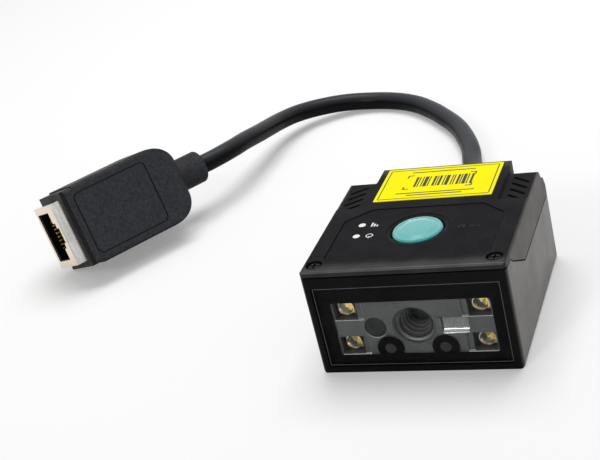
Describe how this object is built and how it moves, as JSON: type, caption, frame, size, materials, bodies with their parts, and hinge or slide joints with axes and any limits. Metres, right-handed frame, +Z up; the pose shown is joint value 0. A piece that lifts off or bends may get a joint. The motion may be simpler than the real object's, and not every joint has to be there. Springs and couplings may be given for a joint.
{
  "type": "fixed barcode reader",
  "caption": "Small fixed-mount barcode reader with a lit scan window, a round push button on top, indicator lights, and a short cable that ends in an inline modular socket.",
  "frame": {"origin": "middle of the underside of the housing, without the cable", "axes": "+X to the right of someone who faces the scan window, +Y to the rear where the cable leaves, +Z up"},
  "size_m": [0.1303, 0.1393, 0.0249],
  "materials": {
    "housing_plastic": "satin black moulded plastic",
    "cover_plastic": "fine-grained charcoal moulded plastic",
    "panel_film": "matt printed film",
    "label_film": "yellow film sticker",
    "black_steel": "blackened steel",
    "brass": "turned brass",
    "window_plastic": "clear polished plastic",
    "mask_ink": "black print",
    "seal_foam": "soft foam",
    "engine_plastic": "grey moulded plastic",
    "barrel_plastic": "black anti-glare plastic",
    "lens_glass": "coated lens",
    "sensor_die": "glossy sensor surface",
    "clear_plastic": "clear moulded plastic",
    "lamp_gold": "gold-plated lamp base",
    "eye_plastic": "dark filter plastic",
    "board_laminate": "green solder mask on laminate",
    "flex_film": "amber film",
    "bright_steel": "plated steel",
    "chip_resin": "moulded resin",
    "pipe_plastic": "milky clear plastic",
    "button_plastic": "glossy teal plastic",
    "ring_rubber": "black ring",
    "header_plastic": "cream plastic",
    "cable_jacket": "soft black jacket",
    "overmold_plastic": "grained dark grey moulding",
    "shell_nickel": "nickel-plated sheet",
    "jack_plastic": "black plastic",
    "contact_gold": "gold-plated spring wire"
  },
  "bodies": {
    "reader": {"lower_housing": "housing_plastic", "top_cover": "cover_plastic", "top_panel": "panel_film", "rear_label": "label_film", "cover_screws": "black_steel", "mount_inserts": "brass", "scan_window": "window_plastic", "window_mask": "mask_ink", "window_seal": "seal_foam", "engine_block": "engine_plastic", "lens_barrel": "barrel_plastic", "camera_lens": "lens_glass", "image_sensor": "sensor_die", "aimer_barrel": "barrel_plastic", "aimer_lens": "lens_glass", "light_bar": "clear_plastic", "lamp_bases": "lamp_gold", "lamp_domes": "clear_plastic", "eye_sensors": "eye_plastic", "engine_board": "board_laminate", "engine_flex": "flex_film", "main_board": "board_laminate", "board_screws": "bright_steel", "decoder_chip": "chip_resin", "memory_chip": "chip_resin", "beeper": "chip_resin", "push_switch": "bright_steel", "indicator_lamps": "pipe_plastic", "light_pipes": "pipe_plastic", "button_ring": "ring_rubber", "board_header": "header_plastic", "cable_plug": "header_plastic", "inner_lead": "cable_jacket", "cable_gland": "cable_jacket", "cable": "cable_jacket", "connector_overmold": "overmold_plastic", "jack_shell": "shell_nickel", "jack_insert": "jack_plastic", "jack_contacts": "contact_gold"},
    "button": {"trigger_button": "button_plastic", "switch_stem": "barrel_plastic"}
  },
  "joints": [
    {"name": "button_press", "type": "slide", "parent": "reader", "child": "button", "axis": [0, 0, -1], "range_m": [0, 0.0005], "stiffness_N_per_m": 1500, "springref_m": -0.0003}
  ]
}
